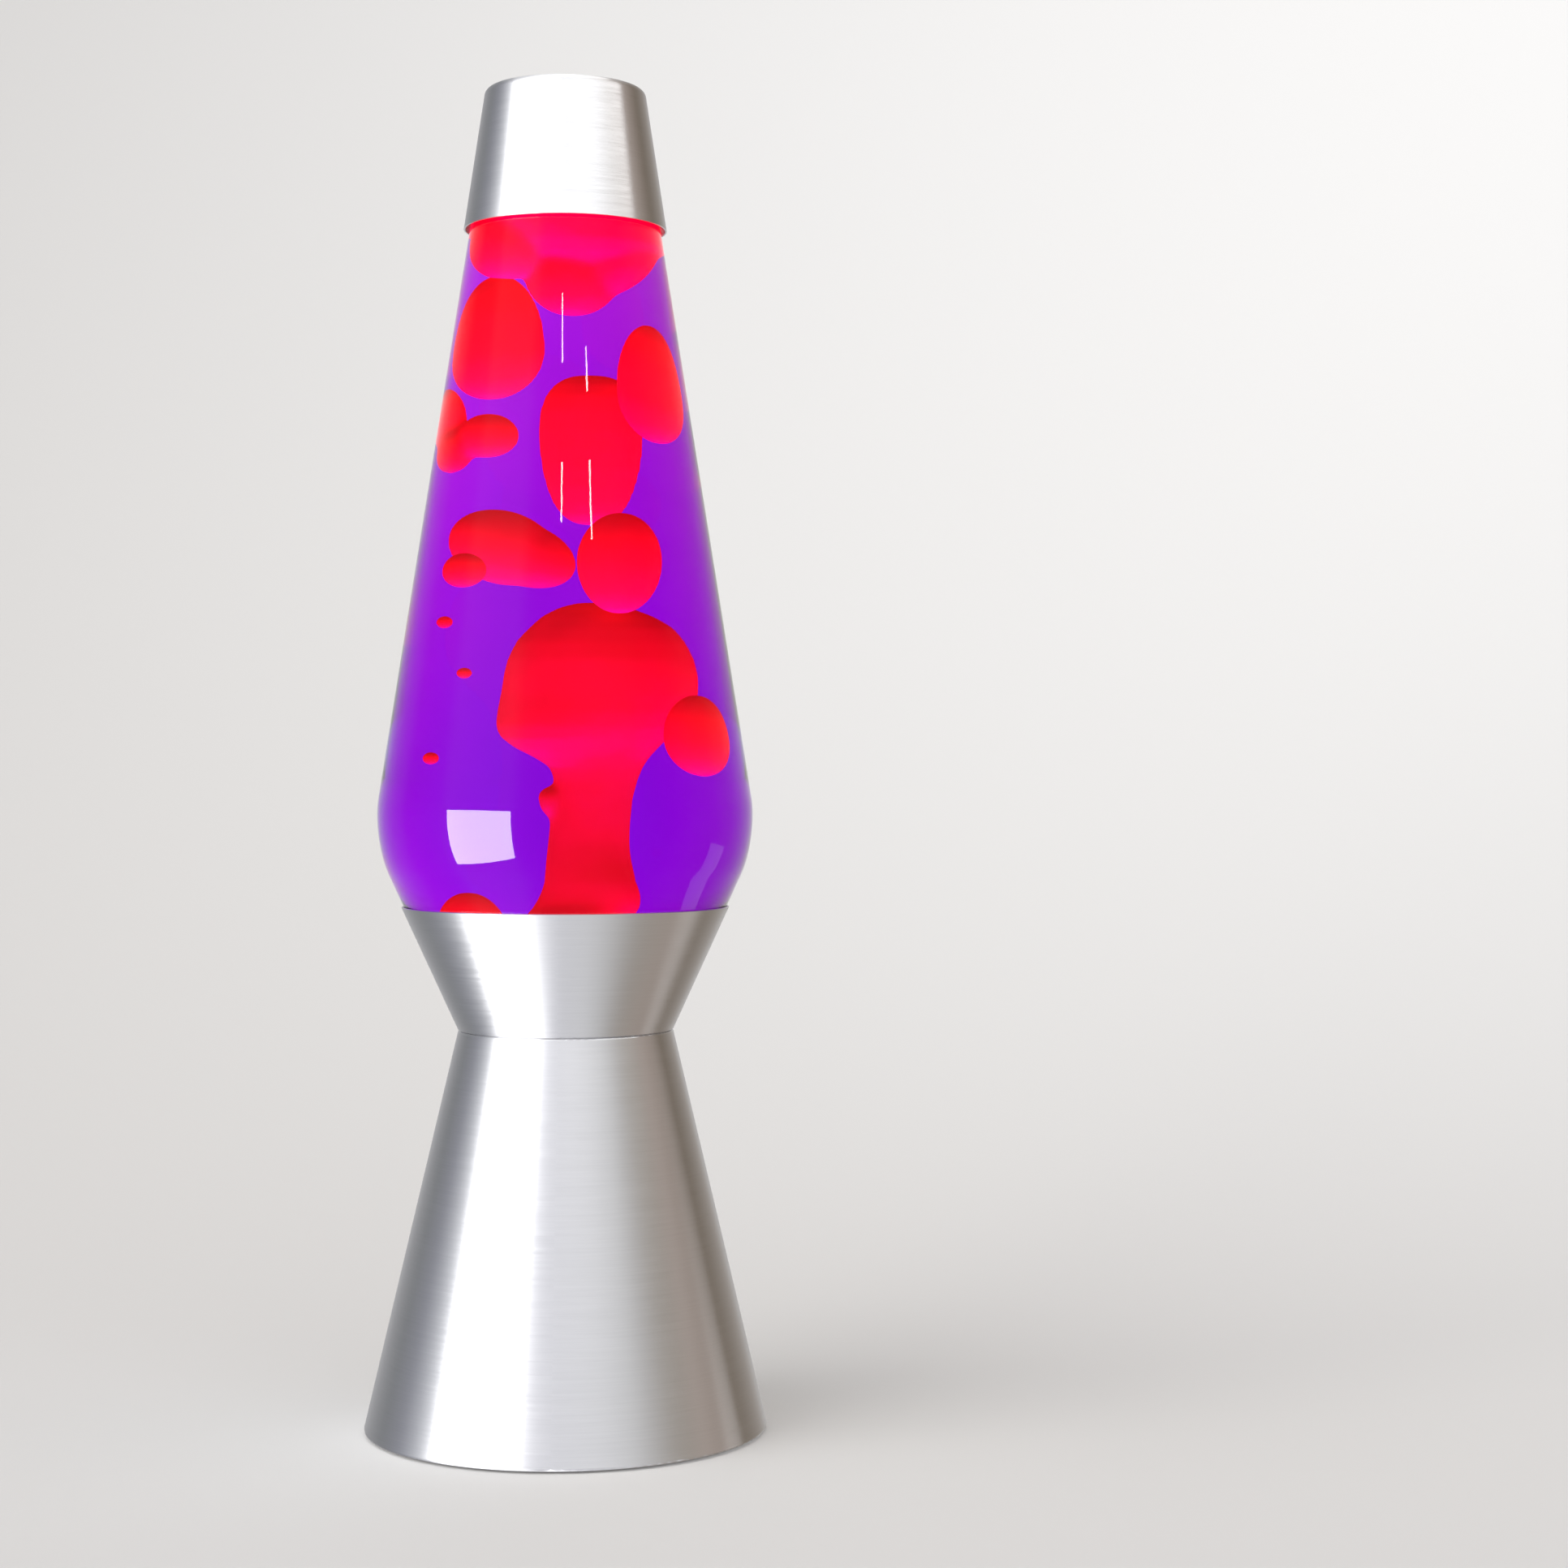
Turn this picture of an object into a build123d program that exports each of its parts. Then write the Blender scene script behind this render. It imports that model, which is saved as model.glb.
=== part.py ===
from build123d import *
from math import asin, atan2, cos, degrees, pi, radians, sin, tan
import os

# Lava lamp, 27 inches tall: a spun aluminium stand and cap, a sealed glass globe of tinted liquid
# and wax that lifts out of the stand, and a screw-in bulb that lights and warms it from below.
# Millimetres, +Z up. The origin is the middle of the footprint, on the surface the lamp stands on.
# The front is -Y; the power cord enters at the back, +Y, through the grommet.

# ---- Driving dimensions ----

SHEET = 0.8  # spun aluminium of the cap, the cup and the cone
BEND = 1.2  # outer radius of the bends in it

# Stand: a tall cone with a cup on its narrow end
LAMP_HEIGHT = 685.8
RIM_LIFT = 1.2  # the cone's rim stands this far off the table, on its feet
CONE_FOOT_RADIUS = 103.2
WAIST_HEIGHT = 204.8
WAIST_FLANGE = 18.0  # width of the two flanges that meet at the waist
CUP_DEPTH = 62.9
CUP_RIM_RADIUS = 83.8
LIP_WIDTH = 4.2  # flat turned in at the cone's foot
LIP_RISE = 2.8  # step up from the lip to the flange that takes the bottom plate
LIP_DRAFT = 1.0
PLATE_FLANGE = 10.0

# Globe
GLASS = 3.0
GLOBE_FIT = 0.3  # between the glass and the cup
BELLY_RISE = 35.3  # from the cup's rim to where the lower and upper cones would meet
BELLY_BEND = 68.0
SHOULDER_DROP = 17.8  # from the lamp's top
SHOULDER_RADIUS = 40.1
SHOULDER_BEND = 14.0
NECK_RADIUS = 15.8
NECK_BEND = 4.0
NECK_CLIMB = 3.0  # the shoulder climbs this much on its way to the neck
HEEL_BEND = 5.0
FOOT_WIDTH = 4.4  # ring of glass that stands in the cup
PUNT_RISE = 3.3
PUNT_DOME = 1.5
GLASS_FLOOR = 5.0  # glass over the punt
LIP_BEAD = 1.4
BEAD_HEIGHT = 7.2
CLOSURE_SHEET = 0.6
LINER = 1.2
LIQUID_DROP = 16.0  # from the shoulder

# Cap
CAP_HEIGHT = 71.8
CAP_RIM_RADIUS = 51.9
CAP_TOP_RADIUS = 40.8
CAP_BEND = 4.0

# Bulb and lampholder
BULB_RADIUS = 30.0
BULB_LENGTH = 108.0
BULB_TOP_DROP = 10.0  # from the waist down to the bulb
BULB_GLASS = 0.8
BULB_NECK_RADIUS = 13.0
SCREW_CAP_LENGTH = 26.0
SCREW_CAP_SHEET = 0.6
THREAD_CREST_RADIUS = 13.05
THREAD_DEPTH = 0.8
THREAD_PITCH = 3.629
THREAD_RINGS = 4
SHELL_GAP = 0.3  # bulb thread to the socket's screw shell
SHELL_SHEET = 0.4
SOCKET_WALL = 5.2
SOCKET_HEIGHT = 42.5
SOCKET_FLOOR = 12.5
CONTACT_RISE = 6.0  # from the socket's floor to the bulb's tip
NIPPLE_RADIUS = 4.8
NIPPLE_BORE_RADIUS = 3.4
NIPPLE_SEAT = 8.0  # how far the nipple screws into the lampholder
BRACKET_SHEET = 1.5
BRACKET_WIDTH = 20.0
BRACKET_LEG_GAP = 6.0  # bulb to the bracket's legs
WAIST_BORE_GAP = 1.0  # from the legs' inner faces to the waist's bore

# Fasteners: M3 through the waist, self-tappers of the same size in the bottom plate
SCREW_RADIUS = 1.5
SCREW_HOLE_GAP = 0.1
SCREW_HEAD_RADIUS = 3.0
SCREW_HEAD_HEIGHT = 2.1
LOW_HEAD_HEIGHT = 1.2
SCREW_INSET = 5.0  # from the waist's bore to the screws
NUT_ACROSS_FLATS = 5.5
NUT_HEIGHT = 2.4
WASHER = 0.7
LOCKNUT_ACROSS_FLATS = 14.0
LOCKNUT_HEIGHT = 3.5

# Bottom plate and feet
PLATE = 2.5
PLATE_EDGE_GAP = 0.2
HEAD_RECESS = 0.4
VENTS = 20
VENT_LENGTH = 24.0
VENT_WIDTH = 4.0
FOOT_RADIUS = 7.0
FOOT_RECESS = 0.4
FOOT_CHAMFER = 0.5

# Grommet
GROMMET_HEIGHT = 17.0
GROMMET_WIDTH = 10.0
GROMMET_CORNER = 2.0
GROMMET_FLANGE = 2.0
GROMMET_FLANGE_THICK = 1.2
GROMMET_SLEEVE = 8.0
CORD_HOLE_RADIUS = 3.3

# Wax and coil
WAX_GAP = 0.3  # between the wax and the liquid round it
WAX_FILM = 1.5  # liquid between the floating wax and the glass
POOL_DEPTH = 34.0
DOME_RISE = 13.6  # from the pool's surface to the middle of the dome
COIL_RADIUS = 38.0
COIL_THICKNESS = 4.0
COIL_LIFT = 0.5

# ---- Shared places ----

BULB_TOP = WAIST_HEIGHT - BULB_TOP_DROP
BULB_FOOT = BULB_TOP - BULB_LENGTH
LEG_INNER = BULB_RADIUS + BRACKET_LEG_GAP
WAIST_BORE_RADIUS = LEG_INNER + WAIST_BORE_GAP
WAIST_RADIUS = WAIST_BORE_RADIUS + WAIST_FLANGE
WAIST_SCREW_CIRCLE = WAIST_BORE_RADIUS + SCREW_INSET
CUP_RIM_HEIGHT = WAIST_HEIGHT + CUP_DEPTH
CUP_FLOOR = WAIST_HEIGHT + SHEET
BELLY_HEIGHT = CUP_RIM_HEIGHT + BELLY_RISE
SHOULDER_HEIGHT = LAMP_HEIGHT - SHOULDER_DROP
LIQUID_TOP = SHOULDER_HEIGHT - LIQUID_DROP
CAP_RIM_HEIGHT = LAMP_HEIGHT - CAP_HEIGHT
CUP_SLANT = atan2(CUP_RIM_RADIUS - WAIST_RADIUS, CUP_DEPTH)
CONE_SLANT = atan2(CONE_FOOT_RADIUS - WAIST_RADIUS, WAIST_HEIGHT - RIM_LIFT)
LIP_RADIUS = CONE_FOOT_RADIUS - LIP_WIDTH
PLATE_TOP = RIM_LIFT + LIP_RISE
PLATE_BOTTOM = PLATE_TOP - PLATE
PLATE_RADIUS = LIP_RADIUS - LIP_DRAFT - BEND - PLATE_EDGE_GAP
PLATE_SCREW_CIRCLE = LIP_RADIUS - LIP_DRAFT - PLATE_FLANGE / 2
SOCKET_BASE = BULB_FOOT - CONTACT_RISE - SOCKET_FLOOR  # top of the bracket's platform
CAP_CEILING = LAMP_HEIGHT - SHEET
BOTTLE_TOP = CAP_CEILING - CLOSURE_SHEET - LINER

os.makedirs("parts", exist_ok=True)


def save(node, *shapes):
    """Write one sub-part; several shapes are a group of separate like solids."""
    solids = [solid for shape in shapes for solid in shape.solids()]
    export_step(solids[0] if len(solids) == 1 else Compound(children=solids), f"parts/{node}.step")


def turned(section):
    """Revolve a section drawn in (radius, height) about the lamp's axis."""
    return revolve(Plane.XZ * section, Axis.Z)


def turned_outline(*corners):
    """Revolve a straight-sided outline given by its corners (radius, height)."""
    return turned(make_face(Polyline(*corners, close=True)))


def rounded_line(points, bends):
    """Straight runs through points, with each inner corner rounded by its own radius; 0 is sharp."""
    edges = []
    start = Vector(*points[0])
    for before, corner, after, bend in zip(points, points[1:], points[2:], bends):
        corner = Vector(*corner)
        back = (Vector(*before) - corner).normalized()
        ahead = (Vector(*after) - corner).normalized()
        turn = pi - radians(back.get_angle(ahead))
        reach = bend * tan(turn / 2)
        edges.append(Line(start, corner + back * reach))
        start = corner + ahead * reach
        if bend:
            edges.append(TangentArc(corner + back * reach, start, tangent=back * -1))
    edges.append(Line(start, Vector(*points[-1])))
    return Wire(edges)


def sheet_face(path, bends, side, gauge):
    """Section of a bent sheet: path is one skin, with the metal to the given side of it."""
    return make_face(offset(rounded_line(path, bends), gauge, side=side, kind=Kind.INTERSECTION))


def disc(radius, low, high):
    """A plain cylinder on the lamp's axis."""
    return Pos(0, 0, low) * extrude(Circle(radius), high - low)


def ring(outer, inner, low, high):
    """A flat-ended ring on the lamp's axis."""
    return Pos(0, 0, low) * extrude(Circle(outer) - Circle(inner), high - low)


def round_the_clock(count, radius, item, start=0):
    """Copies of item, evenly spaced on a circle round the lamp's axis."""
    return [Rot(0, 0, start + 360 * i / count) * Pos(radius, 0, 0) * item for i in range(count)]


# ---- Stand: cone ----

waist_hole = extrude(Circle(SCREW_RADIUS + SCREW_HOLE_GAP), LAMP_HEIGHT)
waist_holes = round_the_clock(4, WAIST_SCREW_CIRCLE, waist_hole)
plate_pilot = extrude(Circle(SCREW_RADIUS), PLATE_TOP + 2 * SHEET)
plate_pilots = round_the_clock(4, PLATE_SCREW_CIRCLE, plate_pilot, 45)


def cone_radius(height):
    """Outer radius of the cone at a height."""
    return CONE_FOOT_RADIUS - (height - RIM_LIFT) * tan(CONE_SLANT)


def cone_layer(inside, outside):
    """The layer along the cone's wall between two distances out from its outer skin."""
    low, high = GROMMET_HEIGHT - GROMMET_WIDTH, GROMMET_HEIGHT + GROMMET_WIDTH
    corners = [(low, inside), (low, outside), (high, outside), (high, inside)]
    return turned_outline(*[(cone_radius(z) + out / cos(CONE_SLANT), z) for z, out in corners])


def back_bar(width, corner, near):
    """A square bar with rounded corners, from near to well behind the cone, at the grommet."""
    bar = extrude(RectangleRounded(width, width, corner), CONE_FOOT_RADIUS)
    return Pos(0, near, GROMMET_HEIGHT) * Rot(-90, 0, 0) * bar


# From the waist: the flange, the long cone, the lip turned in at the foot and, a step up, the
# flange that takes the bottom plate.
cone_section = sheet_face(
    [
        (WAIST_BORE_RADIUS, WAIST_HEIGHT),
        (WAIST_RADIUS, WAIST_HEIGHT),
        (CONE_FOOT_RADIUS, RIM_LIFT),
        (LIP_RADIUS, RIM_LIFT),
        (LIP_RADIUS - LIP_DRAFT, PLATE_TOP),
        (LIP_RADIUS - LIP_DRAFT - PLATE_FLANGE, PLATE_TOP),
    ],
    [BEND] * 4,
    Side.RIGHT,
    SHEET,
)
wall_at_grommet = cone_radius(GROMMET_HEIGHT)
grommet_hole = back_bar(GROMMET_WIDTH, GROMMET_CORNER, wall_at_grommet / 2)
save("base_cone", turned(cone_section) - waist_holes - plate_pilots - grommet_hole)

# ---- Cord grommet ----

# Moulded rubber pushed through the wall: a flange each side of the sheet and a sleeve inside.
flange_bar = back_bar(GROMMET_WIDTH + 2 * GROMMET_FLANGE, GROMMET_CORNER + 1, wall_at_grommet / 2)
sleeve_end = wall_at_grommet - SHEET - GROMMET_SLEEVE
sleeve = back_bar(GROMMET_WIDTH, GROMMET_CORNER, sleeve_end)
grommet = sleeve & cone_layer(-GROMMET_SLEEVE * 2, 0)
grommet += flange_bar & cone_layer(0, GROMMET_FLANGE_THICK)
grommet += flange_bar & cone_layer(-SHEET - GROMMET_FLANGE_THICK, -SHEET)
cord_hole = Pos(0, wall_at_grommet / 2, GROMMET_HEIGHT) * Rot(-90, 0, 0)
grommet -= cord_hole * extrude(Circle(CORD_HOLE_RADIUS), CONE_FOOT_RADIUS)
save("cord_grommet", grommet)

# ---- Stand: cup ----

# Spun to the slope of the globe's lower cone; its floor lies on the cone's waist flange.
cup_section = sheet_face(
    [
        (WAIST_BORE_RADIUS, WAIST_HEIGHT),
        (WAIST_RADIUS, WAIST_HEIGHT),
        (CUP_RIM_RADIUS, CUP_RIM_HEIGHT),
    ],
    [BEND],
    Side.LEFT,
    SHEET,
)
save("base_cup", turned(cup_section) - waist_holes)

# ---- Bottom plate, its screws and the feet ----

# Moulded black plastic let into the cone's foot, with radial vents that feed air to the bulb.
head_seat = PLATE_BOTTOM + HEAD_RECESS + LOW_HEAD_HEIGHT
foot_top = PLATE_BOTTOM + FOOT_RECESS
foot_circle = LIP_RADIUS - LIP_DRAFT - PLATE_FLANGE - FOOT_RADIUS
vent_circle = foot_circle - FOOT_RADIUS - VENT_LENGTH / 2 - FOOT_RADIUS
plate = disc(PLATE_RADIUS, PLATE_BOTTOM, PLATE_TOP)
plate -= round_the_clock(VENTS, vent_circle, extrude(SlotOverall(VENT_LENGTH, VENT_WIDTH), PLATE_TOP))
counterbore = extrude(Circle(SCREW_HEAD_RADIUS + SCREW_HOLE_GAP), head_seat)
plate -= round_the_clock(4, PLATE_SCREW_CIRCLE, counterbore, 45)
plate -= plate_pilots
foot_blank = extrude(Circle(FOOT_RADIUS), foot_top)
plate -= round_the_clock(4, foot_circle, foot_blank)
save("bottom_plate", plate)

plate_screw = disc(SCREW_HEAD_RADIUS, head_seat - LOW_HEAD_HEIGHT, head_seat)
plate_screw += disc(SCREW_RADIUS, head_seat, PLATE_TOP + 2 * SHEET)
save("plate_screws", *round_the_clock(4, PLATE_SCREW_CIRCLE, plate_screw, 45))

foot = chamfer(foot_blank.edges().group_by(Axis.Z)[0], FOOT_CHAMFER)
for number, placed in enumerate(round_the_clock(4, foot_circle, foot), 1):
    save(f"rubber_foot_{number}", placed)

# ---- Bulb bracket and the screws at the waist ----

# A strip of steel bent to a U and hung by its ears from the waist; the lampholder stands in it.
ear_top = WAIST_HEIGHT - SHEET
ear_end = WAIST_SCREW_CIRCLE + 2 * SCREW_HEAD_RADIUS
ear_bend, platform_bend = BRACKET_SHEET + 1, 2 * BRACKET_SHEET
strip_section = sheet_face(
    [
        (-ear_end, ear_top),
        (-LEG_INNER, ear_top),
        (-LEG_INNER, SOCKET_BASE),
        (LEG_INNER, SOCKET_BASE),
        (LEG_INNER, ear_top),
        (ear_end, ear_top),
    ],
    [ear_bend, platform_bend, platform_bend, ear_bend],
    Side.RIGHT,
    BRACKET_SHEET,
)
platform_bottom = SOCKET_BASE - BRACKET_SHEET
bracket = extrude(Plane.XZ * strip_section, BRACKET_WIDTH / 2, both=True) - waist_holes
save("socket_bracket", bracket - disc(NIPPLE_RADIUS, platform_bottom, SOCKET_BASE))

# Pan heads lie on the cup's floor, under the globe; two of the four also hold the bracket's ears.
waist_screws, waist_washers, waist_nuts = [], [], []
shank_circle = Circle(SCREW_RADIUS)
for i in range(4):
    washer_top = ear_top - (BRACKET_SHEET if i % 2 == 0 else 0)
    nut_top = washer_top - WASHER
    nut_bottom = nut_top - NUT_HEIGHT
    place = Rot(0, 0, 90 * i) * Pos(WAIST_SCREW_CIRCLE, 0, 0)
    head = disc(SCREW_HEAD_RADIUS, CUP_FLOOR, CUP_FLOOR + SCREW_HEAD_HEIGHT)
    head = fillet(head.edges().group_by(Axis.Z)[-1], SCREW_HEAD_HEIGHT / 2 - 0.1)
    cross = extrude(Rectangle(3.2, 0.8) + Rectangle(0.8, 3.2), SCREW_HEAD_HEIGHT)
    head -= Pos(0, 0, CUP_FLOOR + SCREW_HEAD_HEIGHT / 2) * cross
    waist_screws.append(place * (head + disc(SCREW_RADIUS, nut_bottom - 1, CUP_FLOOR)))
    washer = extrude(Circle(SCREW_HEAD_RADIUS) - shank_circle, WASHER)
    waist_washers.append(place * Pos(0, 0, nut_top) * washer)
    nut = RegularPolygon(NUT_ACROSS_FLATS / 2, 6, major_radius=False) - shank_circle
    waist_nuts.append(place * Pos(0, 0, nut_bottom) * extrude(nut, NUT_HEIGHT))
save("waist_screws", *waist_screws)
save("waist_lock_washers", *waist_washers)
save("waist_nuts", *waist_nuts)

# ---- Lampholder ----

# Phenolic body with a brass screw shell inside, a spring contact at its floor and two terminals.
socket_floor = SOCKET_BASE + SOCKET_FLOOR
socket_top = SOCKET_BASE + SOCKET_HEIGHT
shell_radius = THREAD_CREST_RADIUS + SHELL_GAP + SHELL_SHEET
socket_radius = shell_radius + SOCKET_WALL
nipple_top = SOCKET_BASE + NIPPLE_SEAT
socket = disc(socket_radius, SOCKET_BASE, socket_top)
socket = fillet(socket.edges().group_by(Axis.Z)[-1], 1.2)
socket = chamfer(socket.edges().group_by(Axis.Z)[0], 2.5)
socket -= disc(shell_radius, socket_floor, socket_top)
socket -= disc(NIPPLE_RADIUS, SOCKET_BASE, nipple_top)

terminal_depth, terminal_width = 3.0, 8.4
terminal_height = SOCKET_BASE + (2.5 + SOCKET_FLOOR) / 2
terminal_screws = []
for turn in (90, -90):
    seat = Rot(0, 0, turn) * Pos(socket_radius - terminal_depth, 0, terminal_height) * Rot(0, 90, 0)
    socket -= seat * extrude(Rectangle(terminal_width, terminal_width), terminal_depth)
    shank = Pos(0, 0, -4) * extrude(shank_circle, 4)
    socket -= seat * shank
    head = extrude(Circle(3.4), 2.2)
    head = fillet(head.edges().group_by(Axis.Z)[-1], 0.7)
    head -= Pos(0, 0, 1.3) * extrude(Rectangle(8, 0.8), 1)
    terminal_screws.append(seat * (head + shank))
save("socket_body", socket)
save("socket_terminal_screws", *terminal_screws)

shell_section = sheet_face(
    [(6, socket_floor), (shell_radius, socket_floor), (shell_radius, socket_top - 2)],
    [1],
    Side.LEFT,
    SHELL_SHEET,
)
save("socket_screw_shell", turned(shell_section))

# A brass tongue: a tab on the socket's floor, folded back and up to meet the bulb's tip.
tongue = 0.4
tongue_section = sheet_face(
    [(-5, socket_floor), (5, socket_floor), (-4.5, BULB_FOOT - tongue), (3, BULB_FOOT - tongue)],
    [0.6, 0.9],
    Side.LEFT,
    tongue,
)
save("socket_centre_contact", extrude(Plane.XZ * tongue_section, 2.5, both=True))

# A threaded tube brings the cord up through the platform and clamps the lampholder to it.
washer_bottom = platform_bottom - 1
locknut_bottom = washer_bottom - LOCKNUT_HEIGHT
save("mounting_nipple", ring(NIPPLE_RADIUS, NIPPLE_BORE_RADIUS, locknut_bottom - 3, nipple_top))
save("nipple_lock_washer", ring(LOCKNUT_ACROSS_FLATS / 2, NIPPLE_RADIUS, washer_bottom, platform_bottom))
locknut = RegularPolygon(LOCKNUT_ACROSS_FLATS / 2, 6, major_radius=False) - Circle(NIPPLE_RADIUS)
save("nipple_locknut", Pos(0, 0, locknut_bottom) * extrude(locknut, LOCKNUT_HEIGHT))

# ---- Bulb ----

screw_cap_top = BULB_FOOT + SCREW_CAP_LENGTH
bulb_middle = BULB_TOP - BULB_RADIUS
glass_neck = BULB_NECK_RADIUS - SCREW_CAP_SHEET
collar = 6.0  # length of glass neck inside the screw cap


def envelope(inset):
    """The bulb's blown glass, filled: a ball drawn down to a neck, inset all over."""
    ball, neck = BULB_RADIUS - inset, glass_neck - inset
    leave = radians(40)  # how far below its middle the ball gives way to the neck
    low, neck_top = screw_cap_top - collar, screw_cap_top + collar
    side = (ball * cos(leave), bulb_middle - ball * sin(leave))
    crown = (0, bulb_middle + ball)
    quarter = (ball * cos(radians(25)), bulb_middle + ball * sin(radians(25)))
    section = [
        ThreePointArc(crown, quarter, side),
        Spline(side, (neck, neck_top), tangents=[(-sin(leave), -cos(leave)), (0, -1)]),
        Polyline((neck, neck_top), (neck, low), (0, low), crown),
    ]
    return turned(make_face(section))


save("bulb_envelope", envelope(0) - envelope(BULB_GLASS))

# Rolled thread, drawn as rings: rounded crests one pitch apart on a thin sleeve.
root = THREAD_CREST_RADIUS - THREAD_DEPTH
sleeve_inner = root - SCREW_CAP_SHEET
sleeve_low = BULB_FOOT + 6
sleeve = [Line((root, sleeve_low), (root, sleeve_low + 1))]
for i in range(THREAD_RINGS):
    low = sleeve_low + 1 + i * THREAD_PITCH
    middle, high = low + THREAD_PITCH / 2, low + THREAD_PITCH
    sleeve.append(ThreePointArc((root, low), (THREAD_CREST_RADIUS, middle), (root, high)))
sleeve.append(
    Polyline(
        (root, high),
        (root, screw_cap_top - 3),
        (BULB_NECK_RADIUS, screw_cap_top - 1),
        (BULB_NECK_RADIUS, screw_cap_top),
        (glass_neck, screw_cap_top),
        (glass_neck, screw_cap_top - collar),
        (sleeve_inner, screw_cap_top - collar),
        (sleeve_inner, sleeve_low),
        (root, sleeve_low),
    )
)
save("bulb_screw_cap", turned(make_face(sleeve)))

# Black glass closes the cap's end round a soldered tip.
tip_top = BULB_FOOT + 2
tip = turned_outline((0, BULB_FOOT), (3.4, BULB_FOOT), (4.6, tip_top), (0, tip_top))
save("bulb_tip_contact", tip)
insulator = turned_outline(
    (0, tip_top), (6, tip_top), (root, sleeve_low), (sleeve_inner, sleeve_low),
    (sleeve_inner, sleeve_low + 1.5), (0, sleeve_low + 1.5),
)
save("bulb_insulator", insulator)

# The glass mount flares to the neck; two leads on it carry the filament.
mount_foot = screw_cap_top - collar
mount_top = bulb_middle - 8
mount_radius = 3.2
mount = turned_outline(
    (0, mount_foot), (glass_neck - BULB_GLASS, mount_foot), (glass_neck - BULB_GLASS, mount_foot + 1),
    (mount_radius, mount_foot + 24), (mount_radius, mount_top), (0, mount_top),
)
save("bulb_stem", mount)
lead_radius, filament_radius, filament_half = 0.35, 0.7, 13.0
filament_height = bulb_middle + 4
filament = Pos(0, 0, filament_height) * Rot(0, 90, 0) * Cylinder(filament_radius, 2 * filament_half)
for side in (1, -1):
    foot_point = Vector(side * 1.6, 0, mount_top)
    head_point = Vector(side * (filament_half - 1), 0, filament_height)
    lead = head_point - foot_point
    filament += Plane(foot_point, z_dir=lead) * extrude(Circle(lead_radius), lead.length)
save("bulb_filament", filament - mount)

# ---- Globe: glass and closure ----

# The glass runs parallel to the cup, one fit clear of it, up to the belly, then tapers to the neck.
def glass_cone_radius(height):
    """Outer radius of the globe's lower cone at a height."""
    cup_radius = WAIST_RADIUS + (height - WAIST_HEIGHT) * tan(CUP_SLANT)
    return cup_radius - (SHEET + GLOBE_FIT) / cos(CUP_SLANT)


BELLY_RADIUS = glass_cone_radius(BELLY_HEIGHT)
UPPER_SLANT = atan2(BELLY_RADIUS - SHOULDER_RADIUS, SHOULDER_HEIGHT - BELLY_HEIGHT)


def bottle_section(floor, heel_bend, inset=0):
    """Half section of the globe, filled, standing at floor and then inset all over."""
    outline = rounded_line(
        [
            (-inset, floor),
            (glass_cone_radius(floor), floor),
            (BELLY_RADIUS, BELLY_HEIGHT),
            (SHOULDER_RADIUS, SHOULDER_HEIGHT),
            (NECK_RADIUS, SHOULDER_HEIGHT + NECK_CLIMB),
            (NECK_RADIUS, BOTTLE_TOP),
            (-inset, BOTTLE_TOP),
            (-inset, floor),
        ],
        [heel_bend, BELLY_BEND, SHOULDER_BEND, NECK_BEND, 0, 0],
    )
    section = make_face(outline)
    return offset(section, -inset, kind=Kind.INTERSECTION) if inset else section


foot_outer = glass_cone_radius(CUP_FLOOR) - HEEL_BEND * tan((pi / 2 - CUP_SLANT) / 2)
foot_inner = foot_outer - FOOT_WIDTH
punt_height = CUP_FLOOR + PUNT_RISE
INSIDE_FLOOR = punt_height + PUNT_DOME + GLASS_FLOOR
punt = turned_outline(
    (0, CUP_FLOOR), (foot_inner, CUP_FLOOR), (foot_inner - PUNT_RISE / 2, punt_height),
    (0, punt_height + PUNT_DOME),
)
bead_radius = NECK_RADIUS + LIP_BEAD
bead = disc(bead_radius, BOTTLE_TOP - BEAD_HEIGHT, BOTTLE_TOP)
bead = chamfer(bead.edges().group_by(Axis.Z)[0], LIP_BEAD * 0.9)


def inside(inset):
    """The space inside the globe, inset from the glass."""
    room = turned(bottle_section(INSIDE_FLOOR - GLASS, HEEL_BEND + 2 * GLASS, GLASS + inset))
    return room + disc(NECK_RADIUS - GLASS - inset, SHOULDER_HEIGHT, BOTTLE_TOP)


cavity = inside(0)
save("globe_bottle", turned(bottle_section(CUP_FLOOR, HEEL_BEND)) + bead - punt - cavity)

# The crimped lid goes over the bead and tucks in under it, with a sealing disc inside.
lid_radius = bead_radius + CLOSURE_SHEET
tuck = BOTTLE_TOP - BEAD_HEIGHT
lid_section = sheet_face(
    [
        (0, CAP_CEILING),
        (lid_radius, CAP_CEILING),
        (lid_radius, tuck),
        (NECK_RADIUS + CLOSURE_SHEET, tuck - 1.5 * LIP_BEAD),
    ],
    [CLOSURE_SHEET + 0.2, CLOSURE_SHEET + 0.2],
    Side.RIGHT,
    CLOSURE_SHEET,
)
save("globe_lid", turned(lid_section))
save("globe_lid_liner", disc(bead_radius - 0.5, BOTTLE_TOP, BOTTLE_TOP + LINER))

# ---- Cap ----

# A tapered spun cup, upside down: its ceiling rests on the globe's lid.
cap_section = sheet_face(
    [(CAP_RIM_RADIUS, CAP_RIM_HEIGHT), (CAP_TOP_RADIUS, LAMP_HEIGHT), (0, LAMP_HEIGHT)],
    [CAP_BEND],
    Side.LEFT,
    SHEET,
)
save("cap_shell", turned(cap_section))

# ---- Wax ----

LIQUID_DEPTH = LIQUID_TOP - INSIDE_FLOOR
belly_inside = BELLY_RADIUS - GLASS / cos(UPPER_SLANT)


def inside_radius(height):
    """Radius of the space inside the globe at a height above the belly."""
    return belly_inside - (height - BELLY_HEIGHT) * tan(UPPER_SLANT)


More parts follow.
